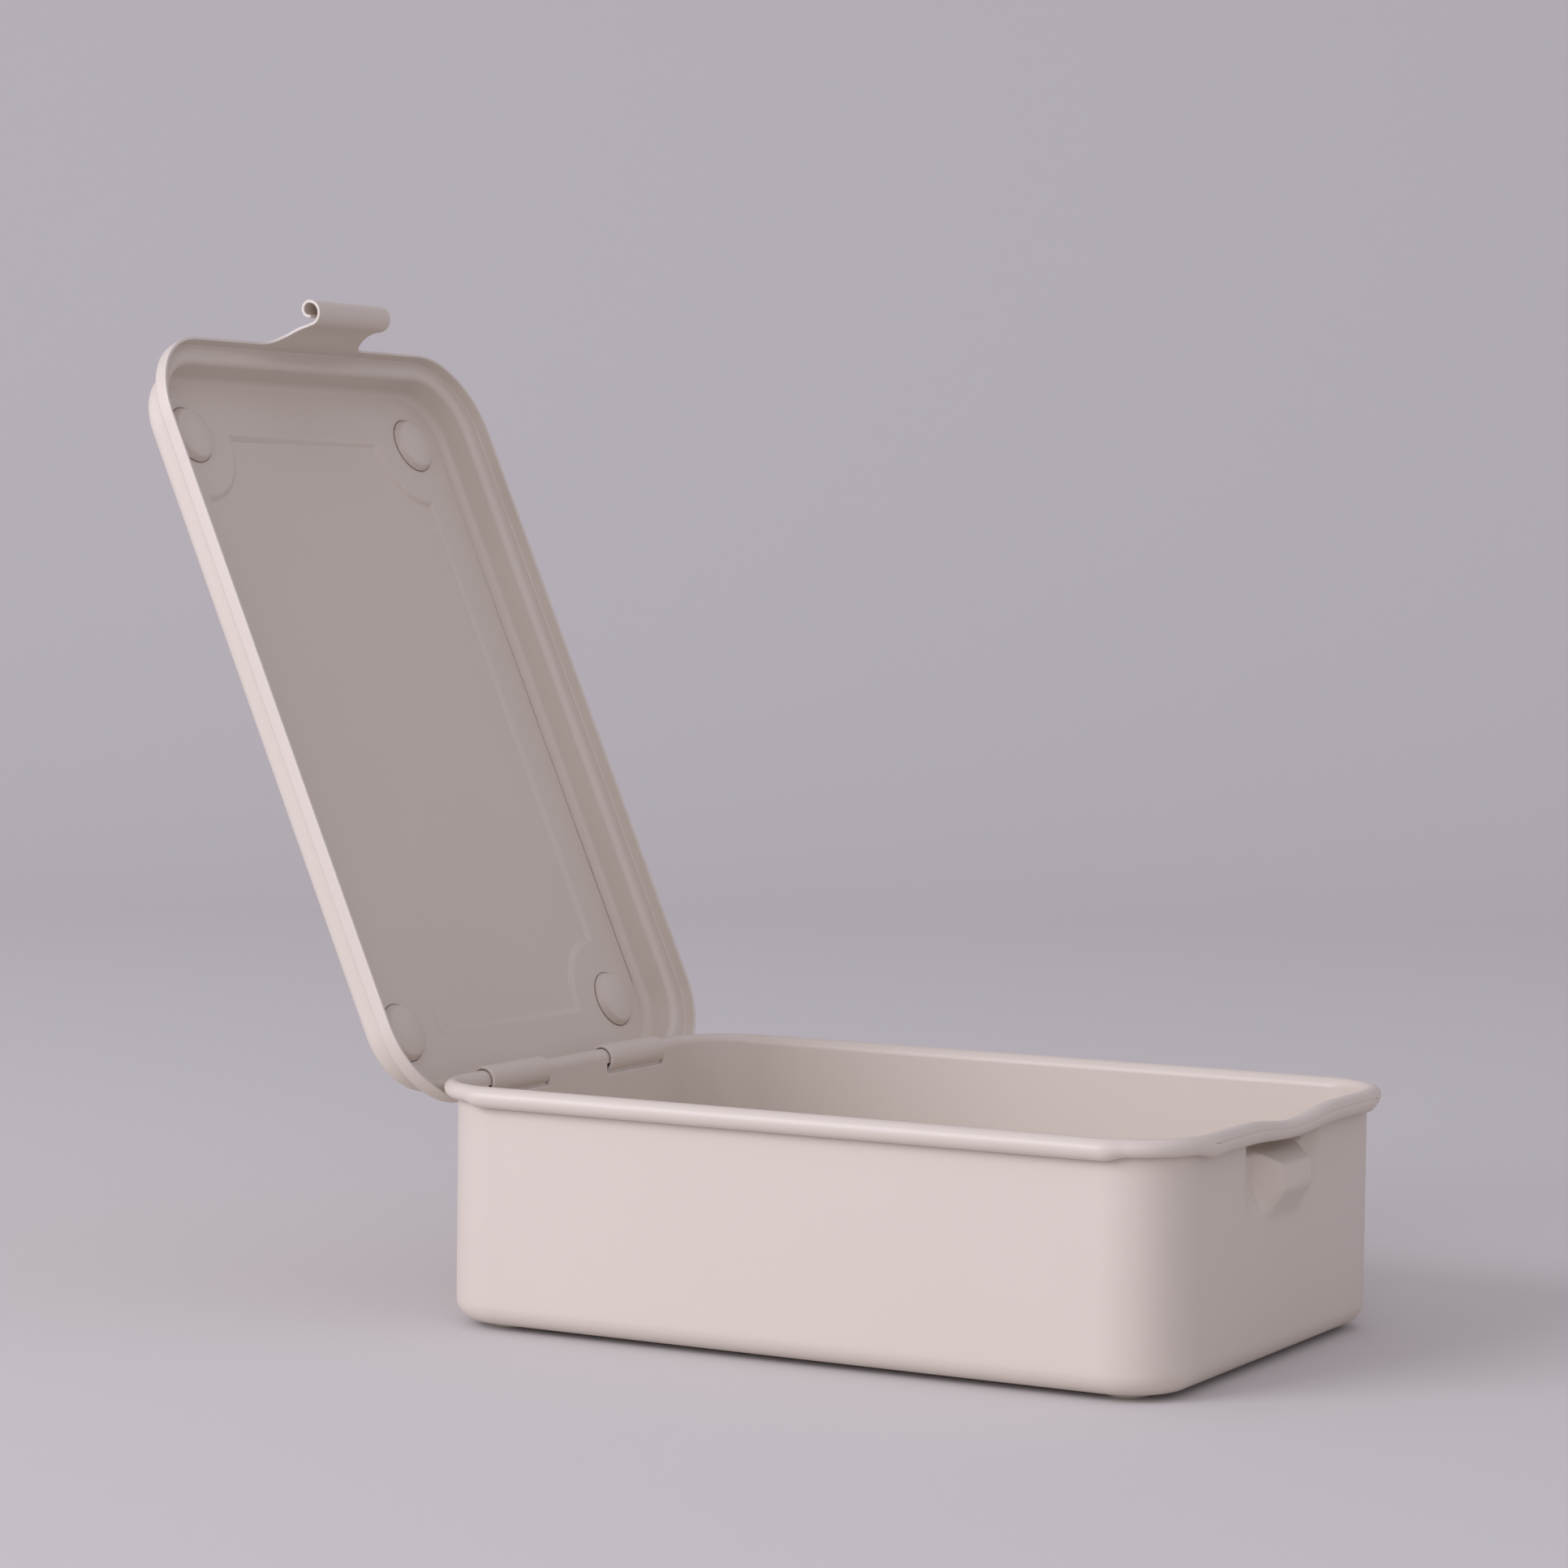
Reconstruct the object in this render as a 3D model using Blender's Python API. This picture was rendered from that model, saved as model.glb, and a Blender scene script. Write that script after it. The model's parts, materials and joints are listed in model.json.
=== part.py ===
# Pressed-steel storage box: a deep-drawn tray whose rim is rolled outward into a hollow bead,
# and a shallow lid that hangs on the rear length of that bead by two curled tabs.
# The row frame has +X from the hinge end to the clasp end, +Z up, and the feet on z = 0, with
# its origin below the middle of the open box. REAR_WALL_X is the rear wall's outer face in it;
# the profiles are drawn with that face at x = 0.
# Every length below is in millimetres; MM turns it into metres when a mesh is made.

import math

import bmesh
import bpy
from mathutils import Vector
from mathutils.geometry import tessellate_polygon

MM = 0.001

# ---- sheet and footprint -------------------------------------------------------------
SHEET = 0.8
GAP = 0.3
LENGTH = 200.0
WIDTH = 137.0
CORNER_R = 17.0
REAR_WALL_X = -54.93

# ---- tray --------------------------------------------------------------------------
RIM_TOP = 61.7
FOOT_DROP = 1.5
FLOOR_R = 5.4
BEAD_R = 2.64
BEAD_R_CORNER = 2.15
TIGHT_SIDE = (1.5, 6.0)
TIGHT_FRONT = (-3.0, 5.0)
BEAD_OUT = BEAD_R - SHEET
BEAD_Z = RIM_TOP - BEAD_R
BEAD_END_DEG = -110.0
DIP = 2.0
DIP_HALF = 27.0
DIP_FROM = 52.0

FOOT_X = (16.0, 185.0)
FOOT_Y = 55.0
FOOT_OUTER = ((6.3, 0.0), (5.7, -0.2), (5.25, -0.75), (5.0, -1.25), (4.6, -1.5))
FOOT_INNER = ((5.7, 0.0), (5.0, -0.25), (4.5, -0.8), (4.2, -1.25), (3.8, -1.5))

# ---- hinge slots in the rear wall -----------------------------------------------------
SLOT_Y = (14.5, 43.5)
SLOT_DROP = (1.0, 3.8)

# ---- catch in the front wall ----------------------------------------------------------
POCKET_HALF = 24.0
POCKET_SIDE = 6.0
POCKET_Z = (37.5, 57.6)
POCKET_FOOT = 8.0
POCKET_ROOF = 1.6
POCKET_DEPTH = 2.6
GROOVE_HALF = (16.5, 19.0)
GROOVE_Z = (52.0, 54.0)
GROOVE_DEPTH = 3.0
BOSS_HALF = 8.0
BOSS_Z = (44.5, 49.2)
BOSS_PROUD = 4.1
BOSS_SIDE = 5.0
BOSS_ROOF = 4.0
BOSS_FOOT = 9.0

# ---- lid, measured from the hinge axis ---------------------------------------------------
LID_OPEN_DEG = 114.0
FLANGE_OUT = BEAD_OUT + BEAD_R + GAP + SHEET
FLANGE_R = 1.3
LEDGE_Z = 4.1
LEDGE_R = 1.1
LEDGE_OUT = 1.5
LID_TOP = 12.9
LID_TOP_R = 3.2
PANEL_RISE = 1.1
PANEL_X = (15.0, 183.0)
PANEL_Y = 52.0
NOTCH_R = 17.5
DIMPLE_X = (16.5, 183.0)
DIMPLE_Y = 51.5
DIMPLE_OUTER = ((7.9, 0.0), (7.5, -0.3), (7.0, -1.1), (6.5, -1.9), (4.9, -2.4), (2.6, -2.85))
DIMPLE_INNER = ((7.4, 0.0), (6.9, -0.35), (6.35, -1.15), (5.9, -1.9), (4.5, -2.4), (2.4, -2.85))

CURL_Y = (15.5, 42.5)
CURL_END_DEG = 381.0
CURL_IN_R = BEAD_R + GAP
CURL_OUT_R = BEAD_R + GAP + SHEET

# ---- clasp tab, carrying on from the lid's front flange ----------------------------------
TAB_ROOT = 23.5
TAB_HALF = 16.0
TAB_FLARE = 11.0
TAB_WIDEN = 0.65
NECK = 12.4
NECK_OUT_DEG = 7.5
NECK_IN_DEG = 20.5
ROLL_WIDE = (3.1, 170.0)
ROLL_TIGHT = (2.0, 195.0)

PAINT = (0.62, 0.575, 0.53, 1.0)


def clear_scene():
    for obj in list(bpy.data.objects):
        bpy.data.objects.remove(obj, do_unlink=True)


def smooth_step(value, low, high):
    """0 below low, 1 above high, with no kink between."""
    share = min(max((value - low) / (high - low), 0.0), 1.0)
    return share * share * (3.0 - 2.0 * share)


def spaced(low, high, step):
    count = max(1, round((high - low) / step))
    return [low + (high - low) * i / count for i in range(count + 1)]


def arc(centre, radius, start, end, steps):
    """Points on a circle, from start to end in degrees."""
    turn = [math.radians(start + (end - start) * i / steps) for i in range(steps + 1)]
    return [(centre[0] + radius * math.cos(a), centre[1] + radius * math.sin(a)) for a in turn]


def ring_stations(front_y, side_x, rear_y, corner_steps):
    """Stations round the rounded rectangle, anticlockwise from the front's near end.

    Each is (cx, cy, dx, dy, tight): the wall's outer face is at (cx, cy) plus CORNER_R along
    the outward direction (dx, dy), and tight rises from 0 to 1 over a short run into a corner.
    """
    x_low, x_high = CORNER_R, LENGTH - CORNER_R
    y_high = WIDTH / 2 - CORNER_R
    found = []

    def corner(x, y, start):
        for i in range(1, corner_steps):
            a = math.radians(start + 90.0 * i / corner_steps)
            from_side = CORNER_R * math.acos(min(abs(math.sin(a)), 1.0))
            from_end = CORNER_R * math.pi / 2.0 - from_side
            at_end = TIGHT_FRONT if x > x_low else TIGHT_SIDE
            tight = min(smooth_step(from_side, *TIGHT_SIDE), smooth_step(from_end, *at_end))
            found.append((x, y, math.cos(a), math.sin(a), tight))

    found.extend((x_high, y, 1.0, 0.0, smooth_step(abs(y) - y_high, *TIGHT_FRONT)) for y in front_y)
    corner(x_high, y_high, 0.0)
    found.extend((x, y_high, 0.0, 1.0, 0.0) for x in reversed(side_x))
    corner(x_low, y_high, 90.0)
    found.extend((x_low, y, -1.0, 0.0, 0.0) for y in reversed(rear_y))
    corner(x_low, -y_high, 180.0)
    found.extend((x, -y_high, 0.0, -1.0, 0.0) for x in side_x)
    corner(x_high, -y_high, 270.0)
    return found


def at_station(station, out, z):
    cx, cy, dx, dy, _ = station
    return (cx + dx * (CORNER_R + out), cy + dy * (CORNER_R + out), z)


def circle_loop(cx, cy, radius, z, steps):
    turn = [2.0 * math.pi * i / steps for i in range(steps)]
    return [(cx + radius * math.cos(a), cy + radius * math.sin(a), z) for a in turn]


def add_loop(bm, points):
    return [bm.verts.new(Vector(p) * MM) for p in points]


def bridge(bm, first, second, skip=()):
    """Quads between two closed loops of the same length, leaving out the listed steps."""
    count = len(first)
    for i in range(count):
        if i in skip:
            continue
        j = (i + 1) % count
        bm.faces.new((first[i], first[j], second[j], second[i]))


def fill(bm, outline, holes=()):
    """Flat triangles inside one loop and outside the others."""
    loops = [outline, *holes]
    flat = [vert for loop in loops for vert in loop]
    for triangle in tessellate_polygon([[v.co for v in loop] for loop in loops]):
        bm.faces.new([flat[i] for i in triangle])


def finish(bm, name, x, z=0.0, turn_y=0.0, shift=0.0):
    """A named object at (x, 0, z) from the mesh, smooth where it is round and crisp where it folds."""
    if shift:
        bmesh.ops.translate(bm, verts=bm.verts, vec=Vector((shift, 0.0, 0.0)) * MM)
    bmesh.ops.recalc_face_normals(bm, faces=bm.faces)
    if bm.calc_volume(signed=True) < 0:
        bmesh.ops.reverse_faces(bm, faces=bm.faces)
    for face in bm.faces:
        face.smooth = True
    for edge in bm.edges:
        edge.smooth = edge.calc_face_angle(0.0) < math.radians(40.0)
    mesh = bpy.data.meshes.new(name)
    bm.to_mesh(mesh)
    bm.free()
    obj = bpy.data.objects.new(name, mesh)
    obj.location = Vector((REAR_WALL_X + x, 0.0, z)) * MM
    obj.rotation_euler = (0.0, math.radians(turn_y), 0.0)
    bpy.context.scene.collection.objects.link(obj)
    return obj


def paint(obj, colour, roughness):
    material = bpy.data.materials.new(obj.name + "_paint")
    material.use_nodes = True
    shader = material.node_tree.nodes["Principled BSDF"]
    shader.inputs["Base Color"].default_value = colour
    shader.inputs["Roughness"].default_value = roughness
    shader.inputs["Metallic"].default_value = 0.0
    obj.data.materials.append(material)


# ---- tray --------------------------------------------------------------------------------


def catch_depth(y, z):
    """How far the front wall is pressed inward at this point; negative stands proud."""
    wide = 1.0 - smooth_step(abs(y), POCKET_HALF - POCKET_SIDE, POCKET_HALF)
    tall = smooth_step(z, POCKET_Z[0], POCKET_Z[0] + POCKET_FOOT)
    tall *= 1.0 - smooth_step(z, POCKET_Z[1] - POCKET_ROOF, POCKET_Z[1])
    groove = 1.0 - smooth_step(abs(y), *GROOVE_HALF)
    groove *= GROOVE_DEPTH * smooth_step(z, *GROOVE_Z)
    depth = (POCKET_DEPTH * wide + groove) * tall
    fall = max((abs(y) - BOSS_HALF) / BOSS_SIDE, (z - BOSS_Z[1]) / BOSS_ROOF)
    boss = 1.0 - min(max(fall, 0.0), 1.0)
    boss *= smooth_step(z, BOSS_Z[0] - BOSS_FOOT, BOSS_Z[0])
    return depth * (1.0 - boss) - BOSS_PROUD * boss


def rim_dip(station, z):
    """The front rim sags over the catch; the sag grows evenly from DIP_FROM to the rim's top."""
    if station[2] < 0.999:
        return 0.0
    across = 0.5 + 0.5 * math.cos(math.pi * min(abs(station[1]) / DIP_HALF, 1.0))
    return DIP * across * max(z - DIP_FROM, 0.0) / (RIM_TOP - DIP_FROM)


def tray_rows(station):
    """The sheet's outer and inner face at one station, each as (out, z) from floor to rim."""
    share = station[4]
    radius = BEAD_R + (BEAD_R_CORNER - BEAD_R) * share
    centre = (radius - SHEET, RIM_TOP - radius)
    elbow = (-FLOOR_R, FOOT_DROP + FLOOR_R)
    levels = [30.0, 36.5, *spaced(38.0, 50.0, 1.5), 51.0, 51.9, 52.8]
    levels += [BEAD_Z - SLOT_DROP[1], 55.8, 56.7, BEAD_Z - SLOT_DROP[0]]
    outer = arc(elbow, FLOOR_R, -90.0, 0.0, 5) + [(0.0, z) for z in levels]
    outer += arc(centre, radius - SHEET, 180.0, BEAD_END_DEG, 12)
    inner = arc(elbow, FLOOR_R - SHEET, -90.0, 0.0, 5) + [(-SHEET, z) for z in levels]
    inner += arc(centre, radius, 180.0, BEAD_END_DEG, 16)
    return outer, inner, 6 + len(levels)


def tray_point(station, out, z):
    on_wall = out <= 0.0 and z < BEAD_Z
    if station[2] > 0.999 and on_wall:
        out -= catch_depth(station[1], z)
    return at_station(station, out, z - rim_dip(station, z))


def foot(bm, cx, cy, rows, z, steps=24):
    """A pressed foot's face on one side of the sheet; gives back its rim for the floor to meet."""
    loops = [add_loop(bm, circle_loop(cx, cy, r, z + drop, steps)) for r, drop in rows]
    for first, second in zip(loops, loops[1:]):
        bridge(bm, first, second)
    bm.faces.new(loops[-1])
    return loops[0]


def make_tray():
    y_high = WIDTH / 2 - CORNER_R
    front_y = [-y_high, -y_high + 3, -38.0, *spaced(-27.0, 27.0, 1.5), 38.0, y_high - 3, y_high]
    near = [*SLOT_Y, y_high]
    rear_y = [-y for y in reversed(near)] + near
    side_x = [CORNER_R, LENGTH / 2, LENGTH - CORNER_R]
    stations = ring_stations(front_y, side_x, rear_y, 10)
    rows = [tray_rows(station) for station in stations]
    bm = bmesh.new()

    def grid(side):
        count = len(rows[0][side])
        return [
            add_loop(bm, [tray_point(s, *rows[i][side][k]) for i, s in enumerate(stations)])
            for k in range(count)
        ]

    outer = grid(0)
    inner = grid(1)
    last_level = rows[0][2]
    slot_low = last_level - 4
    slot_high = last_level - 1
    slots = [
        i
        for i, s in enumerate(stations)
        if s[2] < -0.999 and (abs(s[1] - SLOT_Y[1]) < 0.01 or abs(s[1] + SLOT_Y[0]) < 0.01)
    ]
    for side in (outer, inner):
        for k in range(len(side) - 1):
            bridge(bm, side[k], side[k + 1], slots if slot_low <= k < slot_high else ())
    bridge(bm, outer[-1], inner[-1])
    for i in slots:
        for k in range(slot_low, slot_high):
            for j in (i, i + 1):
                bm.faces.new((outer[k][j], outer[k + 1][j], inner[k + 1][j], inner[k][j]))
        for k in (slot_low, slot_high):
            bm.faces.new((outer[k][i], outer[k][i + 1], inner[k][i + 1], inner[k][i]))
    places = [(x, y) for x in FOOT_X for y in (-FOOT_Y, FOOT_Y)]
    under = [foot(bm, x, y, FOOT_OUTER, FOOT_DROP) for x, y in places]
    above = [foot(bm, x, y, FOOT_INNER, FOOT_DROP + SHEET) for x, y in places]
    fill(bm, outer[0], under)
    fill(bm, inner[0], above)
    return finish(bm, "tray_shell", 0.0)


# ---- lid ---------------------------------------------------------------------------------


def lid_rows():
    """The lid sheet's outer and inner face as (out, z above the hinge axis), edge to top."""
    top = (-LID_TOP_R, LID_TOP - LID_TOP_R)
    fold = (FLANGE_OUT - FLANGE_R, LEDGE_Z - FLANGE_R)
    step = (LEDGE_OUT, LEDGE_Z + LEDGE_R)
    outer = [(FLANGE_OUT, 0.0), *arc(fold, FLANGE_R, 0.0, 90.0, 4)]
    outer += arc(step, LEDGE_R, 270.0, 180.0, 3)
    outer += arc(top, LID_TOP_R, 0.0, 90.0, 5)
    inner = [(FLANGE_OUT - SHEET, 0.0), *arc(fold, FLANGE_R - SHEET, 0.0, 90.0, 4)]
    inner += arc(step, LEDGE_R + SHEET, 270.0, 180.0, 3)
    inner += arc(top, LID_TOP_R - SHEET, 0.0, 90.0, 5)
    return outer, inner


def panel_loop(inset, z, steps=8):
    """The raised panel's outline: a rectangle with a concave notch round each dimple."""
    x_low, x_high = PANEL_X[0] + inset, PANEL_X[1] - inset
    y_high = PANEL_Y - inset
    radius = NOTCH_R + inset
    rear, front = DIMPLE_X
    found = []
    for cx, cy in ((front, DIMPLE_Y), (rear, DIMPLE_Y), (rear, -DIMPLE_Y), (front, -DIMPLE_Y)):
        edge_x = x_high if cx > LENGTH / 2 else x_low
        edge_y = y_high if cy > 0 else -y_high
        on_x = (edge_x, cy - math.copysign(math.sqrt(radius**2 - (edge_x - cx) ** 2), cy))
        reach = math.sqrt(radius**2 - (edge_y - cy) ** 2)
        on_y = (cx - reach if cx > LENGTH / 2 else cx + reach, edge_y)
        first, second = (on_x, on_y) if (cx > LENGTH / 2) == (cy > 0) else (on_y, on_x)
        start = math.atan2(first[1] - cy, first[0] - cx)
        turn = math.atan2(second[1] - cy, second[0] - cx) - start
        turn = (turn + math.pi) % (2.0 * math.pi) - math.pi
        for i in range(steps + 1):
            a = start + turn * i / steps
            found.append((cx + radius * math.cos(a), cy + radius * math.sin(a), z))
    return found


def clasp_heading(run):
    """The heading of the clasp's sheet in degrees, at a distance along it from the flange's edge.

    The neck starts straight down, leans out and bends back in; the roll then turns by length
    over radius, about half a turn wide and the rest tight.
    """
    heading = -90.0 + NECK_OUT_DEG * smooth_step(run, 0.0, 2.0) - NECK_IN_DEG * smooth_step(run, 5.0, NECK)
    wide_run = math.radians(ROLL_WIDE[1]) * ROLL_WIDE[0]
    heading += math.degrees(min(max(run - NECK, 0.0), wide_run) / ROLL_WIDE[0])
    return heading + math.degrees(max(run - NECK - wide_run, 0.0) / ROLL_TIGHT[0])


def clasp_path():
    """The clasp sheet's middle line as (x, z above the axis, run), from the flange's edge round the roll."""
    wide_run = math.radians(ROLL_WIDE[1]) * ROLL_WIDE[0]
    tight_run = math.radians(ROLL_TIGHT[1]) * ROLL_TIGHT[0]
    stops = [0.0, 0.8, *spaced(2.0, NECK - 1.4, 1.8), NECK - 0.6]
    stops += spaced(NECK, NECK + wide_run, 0.95)
    stops += spaced(NECK + wide_run, NECK + wide_run + tight_run, 0.68)[1:]
    x, z = LENGTH + FLANGE_OUT - SHEET / 2, 0.0
    found = [(x, z, 0.0)]
    for low, high in zip(stops, stops[1:]):
        step = (high - low) / 20
        for i in range(20):
            heading = math.radians(clasp_heading(low + step * (i + 0.5)))
            x += step * math.cos(heading)
            z += step * math.sin(heading)
        found.append((x, z, high))
    return found


def clasp_half(run):
    """Half the clasp's width along its sheet: flared at the root, then a little wider at the roll."""
    left = max(1.0 - run / TAB_FLARE, 0.0)
    flare = (TAB_ROOT - TAB_HALF) * (1.0 - math.sqrt(1.0 - left**2))
    return TAB_HALF + flare + TAB_WIDEN * smooth_step(run, NECK - 1.4, NECK - 0.6)


def clasp_sections():
    """Each section past the flange's edge: its outer point, its inner point and half its width."""
    found = []
    for x, z, run in clasp_path()[1:]:
        heading = math.radians(clasp_heading(run))
        side = (-math.sin(heading) * SHEET / 2, math.cos(heading) * SHEET / 2)
        found.append(((x + side[0], z + side[1]), (x - side[0], z - side[1]), clasp_half(run)))
    return found


def add_strip(bm, outer_edge, inner_edge, sections):
    """A tab that carries on from a stretch of the sheet's edge, closed along its sides and end.

    The edges are two points each, in order round the lid; a section is the outer pair and the
    inner pair that follow them.
    """
    rows = [(outer_edge, inner_edge)]
    for outer, inner in sections:
        rows.append((add_loop(bm, outer), add_loop(bm, inner)))
    for first, second in zip(rows, rows[1:]):
        for side in (0, 1):
            bm.faces.new((first[side][0], first[side][1], second[side][1], second[side][0]))
        for j in (0, 1):
            bm.faces.new((first[0][j], second[0][j], second[1][j], first[1][j]))
    last = rows[-1]
    bm.faces.new((last[0][0], last[0][1], last[1][1], last[1][0]))


def starts_at(stations, places):
    """The stations at these (direction x, y) places, where a tab starts."""
    return [
        i
        for i, s in enumerate(stations)
        if any(abs(s[2] - dx) < 0.001 and abs(s[1] - y) < 0.01 for dx, y in places)
    ]


def make_lid():
    y_high = WIDTH / 2 - CORNER_R
    root = TAB_ROOT
    rear_y = [-y_high, -CURL_Y[1], -CURL_Y[0], CURL_Y[0], CURL_Y[1], y_high]
    front_y = [-y_high, -root, root, y_high]
    side_x = [CORNER_R, LENGTH / 2, LENGTH - CORNER_R]
    stations = ring_stations(front_y, side_x, rear_y, 9)
    bm = bmesh.new()
    outer_rows, inner_rows = lid_rows()
    outer = [add_loop(bm, [at_station(s, n, z) for s in stations]) for n, z in outer_rows]
    inner = [add_loop(bm, [at_station(s, n, z) for s in stations]) for n, z in inner_rows]
    for side in (outer, inner):
        for first, second in zip(side, side[1:]):
            bridge(bm, first, second)
    curls = starts_at(stations, ((-1.0, CURL_Y[1]), (-1.0, -CURL_Y[0])))
    clasp = starts_at(stations, ((1.0, -root),))
    bridge(bm, outer[0], inner[0], curls + clasp)
    turns = [
        arc((-BEAD_OUT, 0.0), radius, 180.0, CURL_END_DEG, 20)[1:]
        for radius in (CURL_OUT_R, CURL_IN_R)
    ]
    for i in curls:
        ends = [stations[i][1], stations[i + 1][1]]
        sections = [
            ([(a[0], y, a[1]) for y in ends], [(b[0], y, b[1]) for y in ends])
            for a, b in zip(*turns)
        ]
        add_strip(bm, outer[0][i : i + 2], inner[0][i : i + 2], sections)
    sections = [
        ([(a[0], y, a[1]) for y in (-half, half)], [(b[0], y, b[1]) for y in (-half, half)])
        for a, b, half in clasp_sections()
    ]
    for i in clasp:
        add_strip(bm, outer[0][i : i + 2], inner[0][i : i + 2], sections)
    places = [(x, y) for x in DIMPLE_X for y in (-DIMPLE_Y, DIMPLE_Y)]
    for side, rows, top in (
        (outer, DIMPLE_OUTER, LID_TOP),
        (inner, DIMPLE_INNER, LID_TOP - SHEET),
    ):
        bumps = [foot(bm, x, y, rows, top, 24) for x, y in places]
        steps = ((-0.7, 0.0), (-0.25, 0.12), (0.35, PANEL_RISE - 0.12), (0.8, PANEL_RISE))
        loops = [add_loop(bm, panel_loop(inset, top + rise)) for inset, rise in steps]
        for first, second in zip(loops, loops[1:]):
            bridge(bm, first, second)
        fill(bm, side[-1], [loops[0], *bumps])
        fill(bm, loops[-1])
    return finish(bm, "lid_shell", -BEAD_OUT, BEAD_Z, -LID_OPEN_DEG, BEAD_OUT)


clear_scene()
for made in (make_tray(), make_lid()):
    paint(made, PAINT, 0.45)
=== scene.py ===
# %% [markdown]
# # A pressed-steel storage box
# The object is a small lidded box made of two sheets of steel, each 0.8 mm thick and painted
# a warm grey-white. One sheet is drawn deep into a tray and its rim is rolled outwards into a
# hollow bead. The other is a shallow lid that hangs on the rear length of that bead by two
# curled tabs. At its front a clasp ends in a roll, which hangs just clear of a boss in the
# tray's front wall when the lid is shut.
#
# We start from the engineering model, which fixes where everything is and how it moves.
# This lesson then builds the surfaces that the eye sees, much finer than that model's.

# %% Load the frame
import json

import bpy
import numpy as np
from mathutils import Matrix, Vector
from mathutils.geometry import tessellate_polygon


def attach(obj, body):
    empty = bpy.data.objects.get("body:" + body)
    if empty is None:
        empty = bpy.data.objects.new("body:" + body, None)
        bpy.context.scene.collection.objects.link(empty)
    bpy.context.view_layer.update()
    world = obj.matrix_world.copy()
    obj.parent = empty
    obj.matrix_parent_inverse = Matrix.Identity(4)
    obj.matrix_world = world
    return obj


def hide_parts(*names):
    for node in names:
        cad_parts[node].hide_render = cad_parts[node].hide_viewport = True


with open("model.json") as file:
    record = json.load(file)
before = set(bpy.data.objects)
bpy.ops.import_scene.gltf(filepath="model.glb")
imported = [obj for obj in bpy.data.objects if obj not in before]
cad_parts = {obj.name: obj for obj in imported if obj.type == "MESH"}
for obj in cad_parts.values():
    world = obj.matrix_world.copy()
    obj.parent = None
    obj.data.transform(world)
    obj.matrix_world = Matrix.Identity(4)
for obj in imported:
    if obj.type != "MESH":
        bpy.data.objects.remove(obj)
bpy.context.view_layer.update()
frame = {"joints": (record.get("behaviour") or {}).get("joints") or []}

# %% [markdown]
# ## The box's driving dimensions
# A sheet-metal drawing needs few numbers: the sheet, the plan, the rim's roll and the height.
# They are in millimetres, and a point becomes metres only when it goes into a mesh. The plan
# is drawn with the rear wall's outer face at x = 0, so one shift brings it into the frame.
# The hinge's place is read from the frame itself, because the lid has to turn about it.

# %% Driving dimensions
MM = 0.001
SHEET, GAP = 0.8, 0.3
LENGTH, WIDTH, CORNER_R = 200.0, 137.0, 17.0
X_LOW, X_HIGH, Y_HIGH = CORNER_R, LENGTH - CORNER_R, WIDTH / 2 - CORNER_R
RIM_TOP, FOOT_DROP, FLOOR_R = 61.7, 1.5, 5.4
BEAD_R, BEAD_R_CORNER = 2.64, 2.15
BEAD_OUT = BEAD_R - SHEET

hinge = frame["joints"][0]
HINGE_X, _, BEAD_Z = (value / MM for value in hinge["pos_m"])
REAR_WALL_X = HINGE_X + BEAD_OUT
print(f"hinge axis {BEAD_Z:.2f} mm up, rear wall at x {REAR_WALL_X:.2f} mm")

# %% [markdown]
# ## Soft steps
# Nearly every pressed shape goes from one level to another without a kink. A smooth step does
# that: it is 0 below a low value, 1 above a high one, and follows 3t^2 - 2t^3 between.

# %% A smooth step and evenly graded values
def smooth_step(value, low, high):
    """t = (value - low) / (high - low), held between 0 and 1; the result is t * t * (3 - 2t)."""
    t = np.clip((value - low) / (high - low), 0.0, 1.0)
    return t * t * (3.0 - 2.0 * t)


def graded(low, high, step, hold=0.4):
    """Even values from low to high, with one more close to each end to hold the edge crisp."""
    count = max(2, round((high - low - 2 * hold) / step) + 1)
    return np.concatenate([[low], np.linspace(low + hold, high - hold, count), [high]])


print("a step half way:", smooth_step(np.array([0.0, 0.5, 1.0]), 0, 1))

# %% [markdown]
# ## The plan as a row of stations
# Both pieces follow the same rounded rectangle, so it is worked out once. A station is a
# centre and an outward direction. A point of any profile sits at the centre plus the
# direction times the corner's radius and the profile's own distance out. On a straight the
# centre moves and the direction stays; round a corner it is the other way about. Carrying
# profiles this way keeps every wall, fillet and roll parallel, as a press tool does.

# %% Stations round the plan
TIGHT_SIDE, TIGHT_FRONT = (1.5, 6.0), (-3.0, 5.0)
NEAR_CORNER = np.array([0.0, 0.5, 1.0, 1.6, 2.3, 3.1, 4.0, 5.0])


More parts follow.
